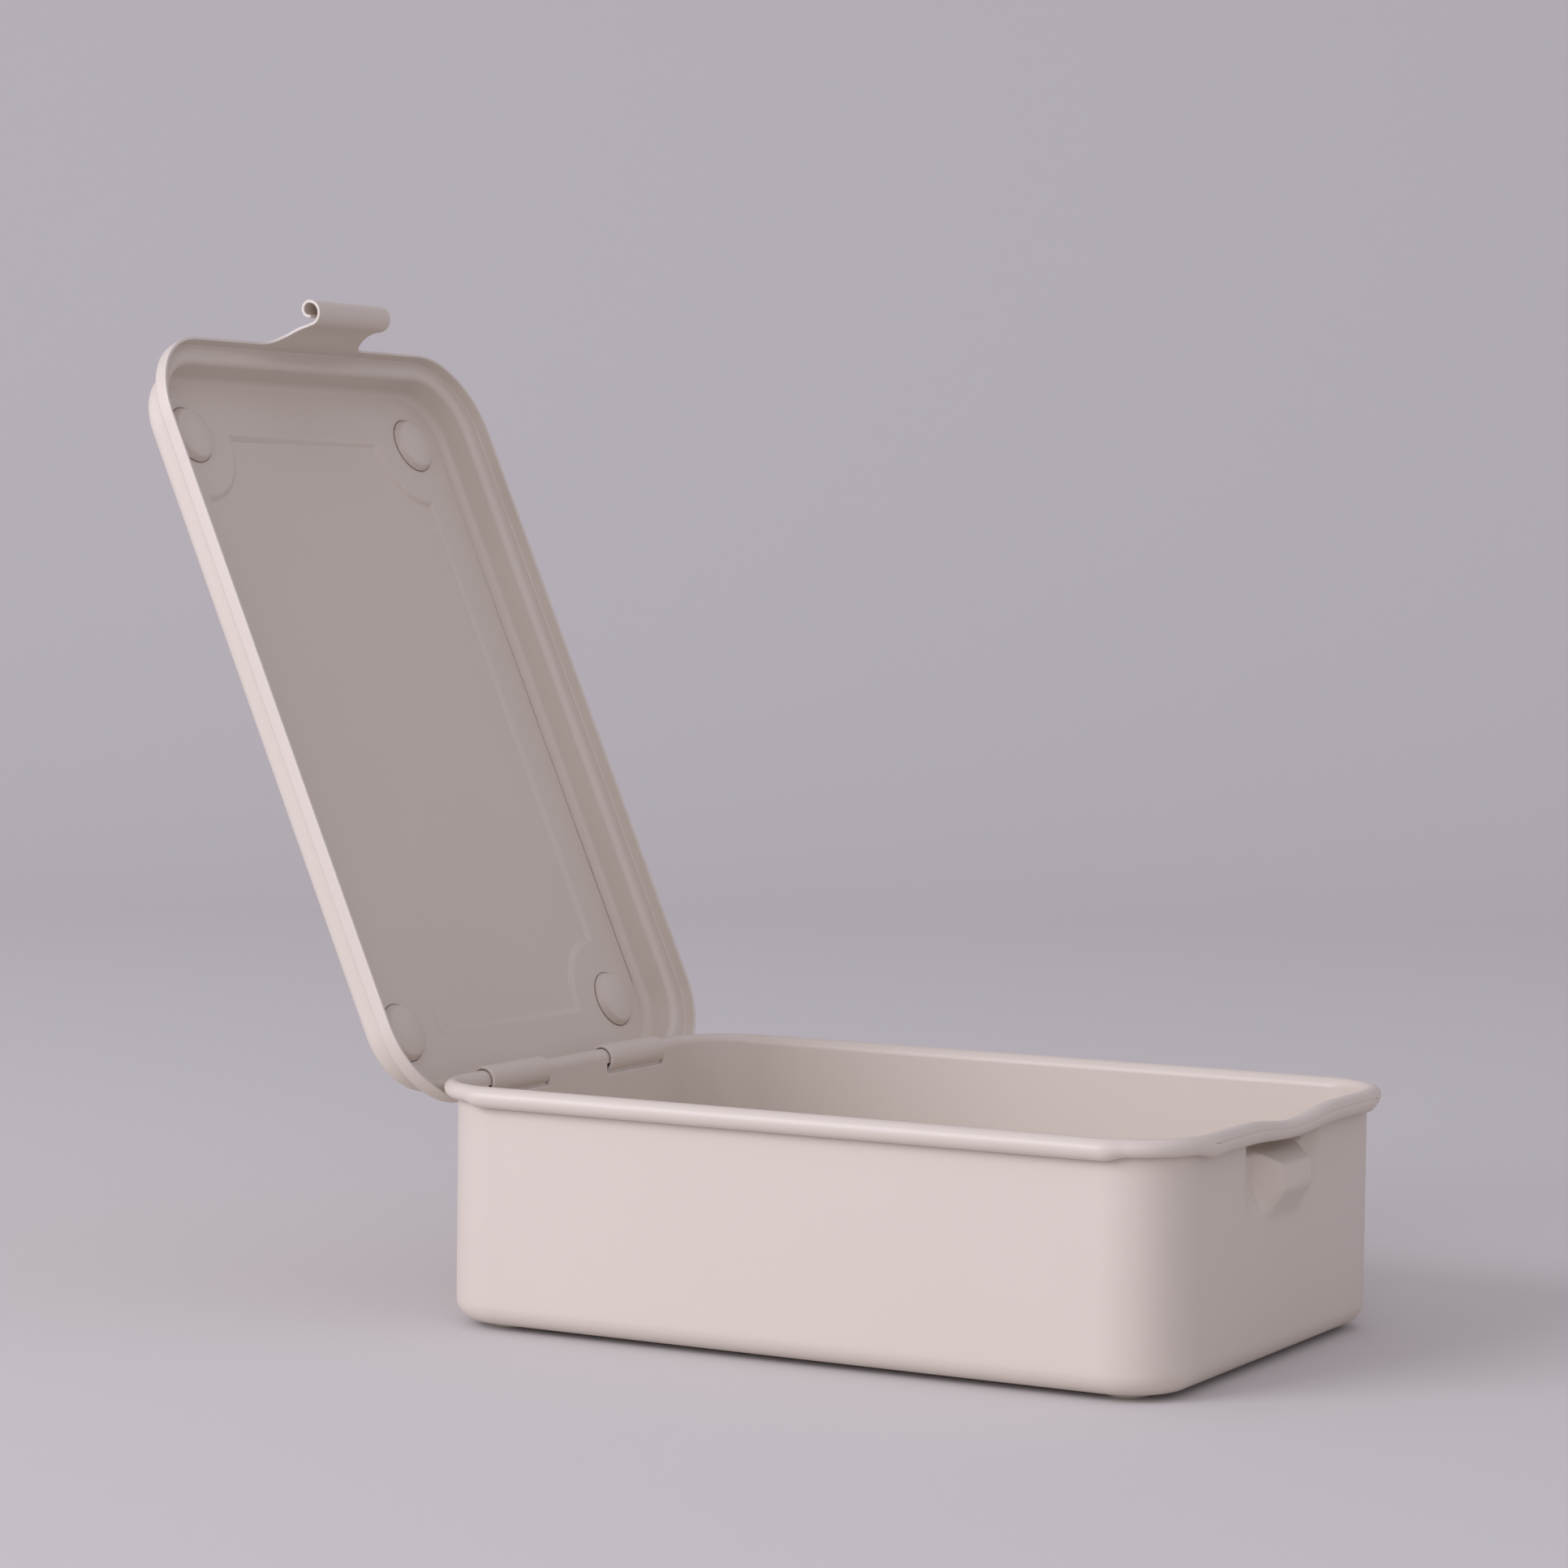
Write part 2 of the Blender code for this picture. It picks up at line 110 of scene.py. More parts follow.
def outline(front, side, rear, turns=32):
    """Stations anticlockwise from the front's near end, as rows of (cx, cy, dx, dy, tight).

    tight is 0 on the straights and rises to 1 round each corner, by the distance along the plan
    from the end of the straight: TIGHT_SIDE gives its start and finish, TIGHT_FRONT at the front.
    """
    quarter = np.radians(np.arange(1, turns) * 90.0 / turns)

    def straight(x, y, dx, dy):
        x, y = np.broadcast_arrays(x, y)
        tight = smooth_step(abs(y) - Y_HIGH, *TIGHT_FRONT) if dx > 0 else 0.0 * (x + y)
        return np.stack([x, y, np.full(x.shape, dx), np.full(x.shape, dy), tight], axis=1)

    def corner(x, y, start):
        turn = quarter + np.radians(start)
        same = np.ones_like(turn)
        from_side = CORNER_R * np.arccos(np.clip(abs(np.sin(turn)), 0.0, 1.0))
        from_end = CORNER_R * np.pi / 2.0 - from_side
        at_end = TIGHT_FRONT if x > X_LOW else TIGHT_SIDE
        tight = np.minimum(smooth_step(from_side, *TIGHT_SIDE), smooth_step(from_end, *at_end))
        return np.stack([x * same, y * same, np.cos(turn), np.sin(turn), tight], axis=1)

    return np.concatenate([
        straight(X_HIGH, front, 1.0, 0.0),
        corner(X_HIGH, Y_HIGH, 0.0),
        straight(side[::-1], Y_HIGH, 0.0, 1.0),
        corner(X_LOW, Y_HIGH, 90.0),
        straight(X_LOW, rear[::-1], -1.0, 0.0),
        corner(X_LOW, -Y_HIGH, 180.0),
        straight(side, -Y_HIGH, 0.0, -1.0),
        corner(X_HIGH, -Y_HIGH, 270.0),
    ])


def carry(stations, out, z):
    """Point = centre + direction * (CORNER_R + out), at height z, for each row and station."""
    cx, cy, dx, dy = stations[:, :4].T
    out, z = np.broadcast_arrays(out, z)
    reach = CORNER_R + out + np.zeros(len(stations))
    return np.stack([cx + dx * reach, cy + dy * reach, z + 0.0 * reach], axis=-1)


side_x = np.concatenate([X_LOW + NEAR_CORNER, [LENGTH / 2], X_HIGH - NEAR_CORNER[::-1]])
print("stations along one long side:", len(side_x))

# %% [markdown]
# ## Sheet metal in Blender
# A pressed part is one surface with a thickness, so each piece is built as a single skin
# along the middle of the sheet. Solidify then gives it its 0.8 mm, and a narrow Bevel rounds
# the cut edges the way paint does. The skin is gathered patch by patch: grids of quads for
# everything that curves, and flat triangles for the flat webs between features.
# Every point also stores how close it is to a cut edge, for the paint to use later.

# %% A collector for patches of sheet
class Skin:
    """The points and faces of one sheet, gathered patch by patch."""

    def __init__(self):
        self.points = np.empty((0, 3))
        self.edge = np.empty(0)
        self.faces = []

    def add(self, points, edge=0.0):
        """Adds points of shape (..., 3) and gives back their numbers in that shape."""
        shape = points.shape[:-1]
        numbers = len(self.points) + np.arange(points[..., 0].size).reshape(shape)
        self.points = np.concatenate([self.points, points.reshape(-1, 3)])
        self.edge = np.concatenate([self.edge, np.broadcast_to(edge, shape).reshape(-1)])
        return numbers

    def quads(self, grid, closed=False, keep=None):
        """Faces between neighbouring rows and columns, leaving out those keep marks False."""
        if closed:
            grid = np.column_stack([grid, grid[:, :1]])
        corners = (grid[:-1, :-1], grid[:-1, 1:], grid[1:, 1:], grid[1:, :-1])
        faces = np.stack(corners, axis=-1)
        faces = faces.reshape(-1, 4) if keep is None else faces[keep]
        self.faces += faces.tolist()

    def web(self, loops, facing):
        """Flat triangles inside the first loop and outside the rest, facing +z or -z."""
        flat = np.concatenate(loops)
        rings = [list(map(Vector, self.points[loop].tolist())) for loop in loops]
        faces = flat[np.array(tessellate_polygon(rings))]
        a, b, c = (self.points[faces[:, i], :2] for i in range(3))
        turn = (b - a)[:, 0] * (c - a)[:, 1] - (b - a)[:, 1] * (c - a)[:, 0]
        faces = faces[abs(turn) > 1e-9]
        turn = turn[abs(turn) > 1e-9]
        faces = np.where((turn * facing > 0)[:, None], faces, faces[:, ::-1])
        self.faces += faces.tolist()


def button(skin, x, y, z, radii, drops, facing, sectors=64):
    """Rings of a round pressing about (x, y): radius r sits at height z - drop(r).

    The last ring is closed with a flat disc, and the first is given back for its web.
    """
    turn = np.linspace(0.0, 2.0 * np.pi, sectors, endpoint=False)
    radii, drops = radii[:, None], drops[:, None]
    rings = [x + radii * np.cos(turn), y + radii * np.sin(turn), z - drops + 0.0 * turn]
    grid = skin.add(np.stack(rings, axis=-1))
    skin.quads(grid if facing > 0 else grid[:, ::-1], closed=True)
    skin.web([grid[-1]], facing)
    return grid[0]


# %% [markdown]
# ## The tray: one profile from the floor to the end of the roll
# Cut the tray anywhere and the sheet shows the same line: the flat floor, a fillet, the
# upright wall, and a roll that turns through 290 degrees and stops just short of the wall.
# The roll is tighter on the corners, where the metal has to shrink, so its radius is a
# function of the station. Along the front it also has a shallow crease just above its middle,
# with a faint lip below, and it swells slightly near each end of the crease.

# %% The tray's rows
ROLL_END = -110.0
CREASE_AT, CREASE_WIDE, CREASE_DEEP, LIP = 15.0, 5.5, 0.45, 0.12
LOBE, LOBE_Y, LOBE_WIDE = 0.12, 48.0, 2.2
SLOT_LOW, SLOT_HIGH = BEAD_Z - 3.8, BEAD_Z - 1.0
SLOT_Y = (14.5, 43.5)

levels = np.concatenate([
    [8.5, 20.0, 33.0, 35.5],
    np.arange(36.5, SLOT_LOW - 0.5, 0.5),
    graded(SLOT_LOW, SLOT_HIGH, 0.5, 0.35),
    [SLOT_HIGH + 0.35],
])


def tray_profile(stations):
    """(out, z) of the sheet's middle, rows from floor to roll end, columns by station.

    Floor and wall: a quarter circle about (-FLOOR_R, FOOT_DROP + FLOOR_R), then straight up.
    Roll: a circle about (r - SHEET, RIM_TOP - r) of radius r - SHEET / 2, less the crease.
    """
    tight = stations[:, 4]
    even = np.ones_like(tight)
    quarter = np.radians(np.linspace(-90.0, 0.0, 13))[:, None]
    fillet = FLOOR_R - SHEET / 2
    low_out = -FLOOR_R + fillet * np.cos(quarter) * even
    low_z = FOOT_DROP + FLOOR_R + fillet * np.sin(quarter) * even
    wall_out = np.full((len(levels), len(tight)), -SHEET / 2)
    wall_z = levels[:, None] * even
    degrees = np.concatenate([
        np.linspace(180.0, CREASE_AT + 21.0, 37),
        np.linspace(CREASE_AT + 19.0, CREASE_AT - 35.0, 37),
        np.linspace(CREASE_AT - 38.0, ROLL_END, 30),
    ])[:, None]
    lobe = np.exp(-(((abs(stations[:, 1]) - LOBE_Y) / LOBE_WIDE) ** 2)) * (stations[:, 2] > 0.9)
    radius = BEAD_R + (BEAD_R_CORNER - BEAD_R) * tight + LOBE * lobe
    front = smooth_step(stations[:, 2], 0.99, 1.0)
    front = front * smooth_step(Y_HIGH - abs(stations[:, 1]), 0.0, 6.0)
    crease = CREASE_DEEP * front * np.exp(-(((degrees - CREASE_AT) / CREASE_WIDE) ** 2))
    lip = smooth_step(-degrees, -CREASE_AT, 2.0) * (1.0 - smooth_step(-degrees, 25.0, 80.0))
    middle = radius - SHEET / 2 - crease + LIP * front * lip
    roll_out = radius - SHEET + middle * np.cos(np.radians(degrees))
    roll_z = RIM_TOP - radius + middle * np.sin(np.radians(degrees))
    hold = low_out[:1] - 0.6
    out = np.concatenate([hold, low_out, wall_out, roll_out])
    z = np.concatenate([low_z[:1], low_z, wall_z, roll_z])
    return out, z, 1 + len(quarter) + len(levels)


# %% [markdown]
# ## The catch in the front wall
# Under the front rim the wall is pressed inwards into a shallow pocket, and a boss stands out
# of it, proud of the wall. With the lid shut the clasp's roll hangs just in front of the boss.
# All of that is one depth for each (y, z) of the wall: products of steps, added and subtracted.
# The rim above sags by two millimetres, so that a fingertip can reach the clasp.

# %% Depth of the catch and sag of the rim
POCKET_HALF, POCKET_LOW, POCKET_HIGH, POCKET_DEEP = 24.0, 37.5, 57.6, 2.6
POCKET_SIDE, POCKET_FOOT, POCKET_ROOF = 6.0, 8.0, 1.6
GROOVE_HALF, GROOVE_Z, GROOVE_DEEP = (16.5, 19.0), (52.0, 54.0), 3.0
BOSS_HALF, BOSS_LOW, BOSS_HIGH, BOSS_PROUD = 8.0, 44.5, 49.2, 4.1
BOSS_SIDE, BOSS_ROOF, BOSS_FOOT = 5.0, 4.0, 9.0
SAG, SAG_HALF, SAG_FROM = 2.0, 27.0, 52.0


def catch_depth(y, z):
    """How far the front wall is pressed in: the pocket and the groove, or less where the boss is.

    The boss falls away over BOSS_SIDE to its sides and BOSS_ROOF to its top, as straight ramps
    that keep the edges of its face crisp, and softly over BOSS_FOOT to its foot.
    """
    side = abs(y)
    wide = 1.0 - smooth_step(side, POCKET_HALF - POCKET_SIDE, POCKET_HALF)
    tall = smooth_step(z, POCKET_LOW, POCKET_LOW + POCKET_FOOT)
    tall = tall * (1.0 - smooth_step(z, POCKET_HIGH - POCKET_ROOF, POCKET_HIGH))
    groove = GROOVE_DEEP * (1.0 - smooth_step(side, *GROOVE_HALF)) * smooth_step(z, *GROOVE_Z)
    depth = (POCKET_DEEP * wide + groove) * tall
    fall = np.maximum((side - BOSS_HALF) / BOSS_SIDE, (z - BOSS_HIGH) / BOSS_ROOF)
    boss = 1.0 - np.clip(fall, 0.0, 1.0)
    boss = boss * smooth_step(z, BOSS_LOW - BOSS_FOOT, BOSS_LOW)
    return depth * (1.0 - boss) - BOSS_PROUD * boss


def rim_sag(y, z):
    """A cosine hump across the middle of the front, growing evenly from SAG_FROM to the rim's top."""
    across = 0.5 + 0.5 * np.cos(np.pi * np.minimum(abs(y) / SAG_HALF, 1.0))
    return SAG * across * np.clip((z - SAG_FROM) / (RIM_TOP - SAG_FROM), 0.0, 1.0)


deepest, proudest = catch_depth(0.0, 54.5), catch_depth(0.0, 45.0)
print(f"catch: {deepest:.1f} mm deep, boss {-proudest:.1f} mm proud")

# %% [markdown]
# ## Building the tray
# The profile is carried round the stations as one grid. The two slots in the rear wall, which
# the lid's tabs pass through, are simply faces left out. The floor is a flat web with four
# round holes, and a pressed foot fills each one.

# %% The tray's skin
HOLD, SMALL = 0.4, 0.01
FOOT_X, FOOT_Y = (16.0, 185.0), (-55.0, 55.0)
FOOT_RIM, FOOT_EDGE, FOOT_FLAT, FOOT_DISC, FOOT_BLEND = 6.4, 6.2, 3.9, 2.6, 2.0

near_slot = graded(SLOT_Y[0], SLOT_Y[1], 4.0)
rear_half = np.unique(np.round(np.concatenate([
    [0.0, SLOT_Y[0] - HOLD], near_slot, [SLOT_Y[1] + HOLD], Y_HIGH - NEAR_CORNER[::-1],
]), 4))
tray_rear = np.concatenate([-rear_half[:0:-1], rear_half])
tray_front = np.concatenate([
    -Y_HIGH + NEAR_CORNER, [-41.0, -34.0], np.arange(-28.0, 28.1, 0.5), [34.0, 41.0],
    Y_HIGH - NEAR_CORNER[::-1],
])


def make_tray_skin():
    skin = Skin()
    stations = outline(tray_front, side_x, tray_rear)
    out, z, roll_start = tray_profile(stations)
    y = np.broadcast_to(stations[:, 1], z.shape)
    on_front = np.broadcast_to(stations[:, 2] > 0.999, z.shape)
    on_rear = np.broadcast_to(stations[:, 2] < -0.999, z.shape)
    wall = (np.arange(len(z)) < roll_start)[:, None]
    out = out - np.where(on_front & wall, catch_depth(y, z), 0.0)
    z = z - np.where(on_front, rim_sag(y, z), 0.0)
    in_height = (z > SLOT_LOW - SMALL) & (z < SLOT_HIGH + SMALL) & wall
    in_width = (abs(y) > SLOT_Y[0] - SMALL) & (abs(y) < SLOT_Y[1] + SMALL)
    edge = np.where(on_rear & in_height & in_width, 1.0, 0.0)
    edge[-1] = 1.0
    grid = skin.add(carry(stations, out, z), edge)
    ring_y = np.append(stations[:, 1], stations[0, 1])
    mid_y = abs(ring_y[:-1] + ring_y[1:]) / 2
    mid_z = (z[:-1] + z[1:]) / 2
    hole = (mid_z > SLOT_LOW) & (mid_z < SLOT_HIGH) & on_rear[:-1] & wall[:-1]
    hole = hole & (mid_y > SLOT_Y[0]) & (mid_y < SLOT_Y[1])
    skin.quads(grid, closed=True, keep=~hole)
    floor_z = FOOT_DROP + SHEET / 2
    radii = np.concatenate([np.linspace(FOOT_RIM, FOOT_FLAT, 14), [FOOT_DISC]])
    drops = FOOT_DROP * smooth_step(FOOT_EDGE - radii, 0.0, FOOT_BLEND)
    feet = [button(skin, x, y, floor_z, radii, drops, -1) for x in FOOT_X for y in FOOT_Y]
    skin.web([grid[0], *feet], -1)
    return skin


tray_skin = make_tray_skin()
print("tray skin:", len(tray_skin.points), "points,", len(tray_skin.faces), "faces")

# %% [markdown]
# ## The lid: drawn shut, shown open
# The lid is easiest to draw as if it were shut, with heights measured from the hinge axis.
# Its flange drops over the tray's roll, steps in over a ledge, and rises to a flat top.
# A last step turns the finished points about the hinge by the angle the lid is open.

# %% The lid's profile
FLANGE_OUT, FLANGE_R = BEAD_OUT + BEAD_R + GAP + SHEET, 1.3
LEDGE_Z, LEDGE_OUT, LEDGE_R = 4.1, 1.5, 1.1
LID_TOP, LID_TOP_R = 12.9, 3.2
LID_OPEN = np.radians(114.0)


def arc(cx, cz, radius, start, end, steps):
    """(cx + r cos a, cz + r sin a) for angles a from start to end, in degrees."""
    a = np.radians(np.linspace(start, end, steps + 1))
    return np.stack([cx + radius * np.cos(a), cz + radius * np.sin(a)], axis=1)


def lid_profile():
    """(out, z) of the lid sheet's middle, from the flange's free edge to the flat top."""
    half = SHEET / 2
    parts = [
        [[FLANGE_OUT - half, z] for z in (0.0, 0.4, 1.6)],
        arc(FLANGE_OUT - FLANGE_R, LEDGE_Z - FLANGE_R, FLANGE_R - half, 0.0, 90.0, 10),
        arc(LEDGE_OUT, LEDGE_Z + LEDGE_R, LEDGE_R + half, 270.0, 180.0, 10),
        [[-0.2, 7.5]],
        arc(-LID_TOP_R, LID_TOP - LID_TOP_R, LID_TOP_R - half, 0.0, 90.0, 12),
        [[-LID_TOP_R - 0.6, LID_TOP - half]],
    ]
    return np.concatenate(parts)


def swing(points):
    """Turns points drawn shut about the hinge axis, and moves them into the frame's place."""
    x, y, z = points[:, 0] + BEAD_OUT, points[:, 1], points[:, 2]
    c, s = np.cos(LID_OPEN), np.sin(LID_OPEN)
    return np.stack([x * c - z * s - BEAD_OUT, y, x * s + z * c + BEAD_Z], axis=1)


print("lid profile:", len(lid_profile()), "rows")

# %% [markdown]
# ## The lid's pressed panel and dimples
# The middle of the lid stands up by 1.1 mm, which stiffens it, and the panel's outline steps
# round a dimple at each corner. The dimples are sunk, with a domed floor, where a second box's
# feet would stand. A rectangle with a circle bitten out of each corner gives the outline: for
# an inset d, the straight edges move in by d and the circles grow by d.

# %% The panel's outline
PANEL_RISE, PANEL_X, PANEL_Y, NOTCH_R = 1.1, (15.0, 183.0), 52.0, 17.5
DIMPLE_X, DIMPLE_Y = (16.5, 183.0), 51.5
DIMPLE_DROP, DIMPLE_DOME, DIMPLE_DOME_R = 2.0, 1.0, 6.4
DIMPLE_RIM, DIMPLE_EDGE, DIMPLE_BLEND = 8.0, 7.7, 1.4


def panel_loop(inset, steps=26):
    """Points on the outline, anticlockwise, as four arcs joined by straight edges."""
    x_low, x_high, y_high = PANEL_X[0] + inset, PANEL_X[1] - inset, PANEL_Y - inset
    r = NOTCH_R + inset
    loop = []
    for sx, sy in ((1, 1), (-1, 1), (-1, -1), (1, -1)):
        cx, cy = DIMPLE_X[1] if sx > 0 else DIMPLE_X[0], sy * DIMPLE_Y
        edge_x, edge_y = x_high if sx > 0 else x_low, sy * y_high
        on_x = np.arctan2(-sy * np.sqrt(r**2 - (edge_x - cx) ** 2), edge_x - cx)
        on_y = np.arctan2(edge_y - cy, -sx * np.sqrt(r**2 - (edge_y - cy) ** 2))
        first, last = (on_x, on_y) if sx * sy > 0 else (on_y, on_x)
        turn = (last - first + np.pi) % (2.0 * np.pi) - np.pi
        a = first + turn * np.linspace(0.0, 1.0, steps)
        loop.append(np.stack([cx + r * np.cos(a), cy + r * np.sin(a)], axis=1))
    return np.concatenate(loop)


print("panel outline:", len(panel_loop(0.0)), "points")

# %% [markdown]
# ## Curled tabs and the clasp
# Three tabs carry on from the flange's free edge. Two curl round the tray's roll and are the
# hinge; the third slants outwards, narrows from a flared root, and ends in an open roll. Each
# is a short path in the (x, z) plane swept across its width, so a tab is one more grid whose
# first row is the flange's own edge.

# %% Paths of the tabs
CURL_Y, CURL_END, CURL_R = (15.5, 42.5), 381.0, BEAD_R + GAP + SHEET / 2
TAB_HALF, TAB_ROOT, TAB_FLARE, TAB_WIDEN = 16.0, 23.5, 11.0, 0.65
NECK, NECK_OUT, NECK_IN = 12.4, 7.5, 20.5
WIDE_R, WIDE_TURN = 3.1, 170.0
TIGHT_R, TIGHT_TURN = 2.0, 195.0


def clasp_path():
    """Walks along the sheet, adding (cos h, sin h) times each step, where h is the heading.

    On the neck h starts straight down, leans out by NECK_OUT and back in by NECK_IN. The roll
    then turns by step / radius, about half a turn at WIDE_R and the rest at TIGHT_R.
    """
    wide_run = np.radians(WIDE_TURN) * WIDE_R
    run = np.concatenate([
        np.linspace(0.0, NECK, 31),
        NECK + np.linspace(0.0, wide_run, 40)[1:],
        NECK + wide_run + np.linspace(0.0, np.radians(TIGHT_TURN) * TIGHT_R, 34)[1:],
    ])
    middle = (run[1:] + run[:-1]) / 2
    heading = -90.0 + NECK_OUT * smooth_step(middle, 0.0, 2.0)
    heading = heading - NECK_IN * smooth_step(middle, 5.0, NECK)
    turned = np.clip(middle - NECK, 0.0, wide_run) / WIDE_R
    turned = turned + np.clip(middle - NECK - wide_run, 0.0, None) / TIGHT_R
    heading = np.radians(heading) + turned
    step = np.diff(run)
    x = LENGTH + FLANGE_OUT - SHEET / 2 + np.append(0.0, np.cumsum(step * np.cos(heading)))
    z = np.append(0.0, np.cumsum(step * np.sin(heading)))
    return x, z, run


def clasp_half(run):
    """Half the width: a quarter ellipse from the root to the neck, then a little wider at the roll."""
    left = np.clip(1.0 - run / TAB_FLARE, 0.0, 1.0)
    flare = TAB_HALF + (TAB_ROOT - TAB_HALF) * (1.0 - np.sqrt(1.0 - left**2))
    return flare + TAB_WIDEN * smooth_step(run, NECK - 1.4, NECK - 0.6)


clasp_x, clasp_z, clasp_run = clasp_path()
print(f"clasp: {clasp_run[-1]:.1f} mm of sheet, roll {2.0 * clasp_half(NECK):.1f} mm wide")

# %% [markdown]
# ## Building the lid
# The profile is carried round its own stations, with extra ones where the three tabs start.
# Rings of panel outline rise from the top to the panel. Two flat webs then fill what is left:
# one from the walls to the panel with a hole for each dimple, and one inside the panel.

# %% The lid's skin
def make_lid_skin():
    skin = Skin()
    root = TAB_ROOT
    share = np.concatenate([[-1.0, -0.975], np.linspace(-0.9, 0.9, 19), [0.975, 1.0]])
    beside = NEAR_CORNER[[0, 2, 4, 6]]
    ends = Y_HIGH - beside[::-1]
    front = np.concatenate([-Y_HIGH + beside, [-root - 0.5], share * root, [root + 0.5], ends])
    half_rear = [[0.0, CURL_Y[0] - HOLD], graded(*CURL_Y, 3.0), [CURL_Y[1] + HOLD], ends]
    half_rear = np.concatenate(half_rear)
    rear = np.concatenate([-half_rear[:0:-1], half_rear])
    side = np.concatenate([X_LOW + beside, [LENGTH / 2], X_HIGH - beside[::-1]])
    stations = outline(front, side, rear)
    rows = lid_profile()
    edge = (np.arange(len(rows)) == 0)[:, None].astype(float)
    grid = skin.add(carry(stations, rows[:, :1], rows[:, 1:]), edge)
    skin.quads(grid, closed=True)

    def tab(columns, x, z, y):
        """Carries on from the flange's edge at these stations; x and z by row, y by row and column."""
        points = np.stack(np.broadcast_arrays(x[:, None], y, z[:, None]), axis=-1)
        rim = np.zeros(points.shape[:2])
        rim[:, [0, -1]] = 1.0
        rim[-1] = 1.0
        more = skin.add(points, rim)
        skin.quads(np.concatenate([grid[:1, columns], more])[::-1])

    curl = arc(-BEAD_OUT, 0.0, CURL_R, 180.0, CURL_END, 48)[1:]
    on_rear = stations[:, 2] < -0.999
    for sign in (1, -1):
        y = sign * stations[:, 1]
        columns = np.flatnonzero(on_rear & (y > CURL_Y[0] - SMALL) & (y < CURL_Y[1] + SMALL))
        tab(columns, curl[:, 0], curl[:, 1], stations[columns, 1][None, :])
    columns = np.flatnonzero((stations[:, 2] > 0.999) & (abs(stations[:, 1]) < root + SMALL))
    tab(columns, clasp_x[1:], clasp_z[1:], clasp_half(clasp_run[1:])[:, None] * share[None, :])

    top = LID_TOP - SHEET / 2
    radii = np.concatenate([np.linspace(DIMPLE_RIM, 6.0, 14), np.linspace(5.5, 0.8, 9)])
    drops = DIMPLE_DROP * smooth_step(DIMPLE_EDGE - radii, 0.0, DIMPLE_BLEND)
    drops = drops + DIMPLE_DOME * np.clip(1.0 - (radii / DIMPLE_DOME_R) ** 2, 0.0, 1.0)
    places = [(x, y) for x in DIMPLE_X for y in (-DIMPLE_Y, DIMPLE_Y)]
    dimples = [button(skin, x, y, top, radii, drops, 1) for x, y in places]
    insets = np.linspace(-0.9, 1.0, 11)
    rises = PANEL_RISE * smooth_step(insets, insets[0] + 0.1, insets[-1] - 0.1)
    loops = np.stack([panel_loop(inset) for inset in insets])
    loops = np.dstack([loops, np.broadcast_to(top + rises[:, None], loops.shape[:2])])
    panel = skin.add(loops)
    skin.quads(panel, closed=True)
    skin.web([panel[-1]], 1)
    skin.web([grid[-1], panel[0], *dimples], 1)
    skin.points = swing(skin.points)
    return skin


lid_skin = make_lid_skin()
print("lid skin:", len(lid_skin.points), "points,", len(lid_skin.faces), "faces")

# %% [markdown]
# ## Thickness and rounded cut edges
# Solidify pushes the skin out by half the sheet to each side and closes every cut edge.
# A bevel of 0.18 mm on edges sharper than 55 degrees then rounds only those cuts, because
# everywhere else the surface turns by a few degrees from face to face.

# %% Turn a skin into a finished piece
CUT_ROUND, CUT_SHARPER_THAN = 0.18, np.radians(55.0)


def make_piece(name, skin, body, node):
    mesh = bpy.data.meshes.new(name)
    points = skin.points + (REAR_WALL_X, 0.0, 0.0)
    mesh.from_pydata((points * MM).tolist(), [], skin.faces)
    mesh.attributes.new("cut_edge", "FLOAT", "POINT").data.foreach_set("value", skin.edge)
    mesh.shade_smooth()
    piece = bpy.data.objects.new(name, mesh)
    bpy.context.scene.collection.objects.link(piece)
    wall = piece.modifiers.new("sheet", "SOLIDIFY")
    wall.thickness = SHEET * MM
    wall.offset = 0.0
    wall.use_even_offset = True
    wall.use_quality_normals = True
    cut = piece.modifiers.new("cut_edges", "BEVEL")
    cut.width = CUT_ROUND * MM
    cut.segments = 3
    cut.limit_method = "ANGLE"
    cut.angle_limit = CUT_SHARPER_THAN
    cut.use_clamp_overlap = False
    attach(piece, body)
    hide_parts(node)
    return piece


tray = make_piece("tray", tray_skin, "tray", "tray_shell")
lid = make_piece("lid", lid_skin, "lid", "lid_shell")
print("pieces:", tray.name, "and", lid.name)

# %% [markdown]
# ## The paint
# Both sheets carry the same baked satin enamel. Up close such paint is never flat: it has a
# faint orange peel from the spray gun, its tone drifts over a few centimetres, its cut edges
# are painted lighter, partly for paint running thinner there and partly as a painted highlight
# where they would catch the light, and a little dust settles where it faces up. Each of those
# is a node group with named sockets, built once and used by both materials with their own values.

# %% Helpers for node groups
def new_group(name, inputs, outputs):
    """A shader node group with the given sockets; inputs map a name to (type, default)."""
    group = bpy.data.node_groups.new(name, "ShaderNodeTree")
    for label, (kind, default) in inputs.items():
        socket = group.interface.new_socket(label, in_out="INPUT", socket_type=kind)
        if default is not None:
            socket.default_value = default
    for label, kind in outputs.items():
        group.interface.new_socket(label, in_out="OUTPUT", socket_type=kind)
    return group, group.nodes.new("NodeGroupInput"), group.nodes.new("NodeGroupOutput")


def add_node(tree, kind, **settings):
    """One node with its properties set, and its inputs set or linked by name or number."""
    node = tree.nodes.new(kind)
    links = settings.pop("links", {})
    values = settings.pop("values", {})
    for key, value in settings.items():
        setattr(node, key, value)
    for key, value in values.items():
        node.inputs[key].default_value = value
    for key, source in links.items():
        tree.links.new(source, node.inputs[key])
    return node


FLOAT, COLOR, VECTOR = "NodeSocketFloat", "NodeSocketColor", "NodeSocketVector"

# %% [markdown]
# ### Orange peel
# Two layers of soft noise on object coordinates: dimples about a millimetre and a half across,
# and a finer grain in them. The output is a height, which a Bump node turns into a normal.

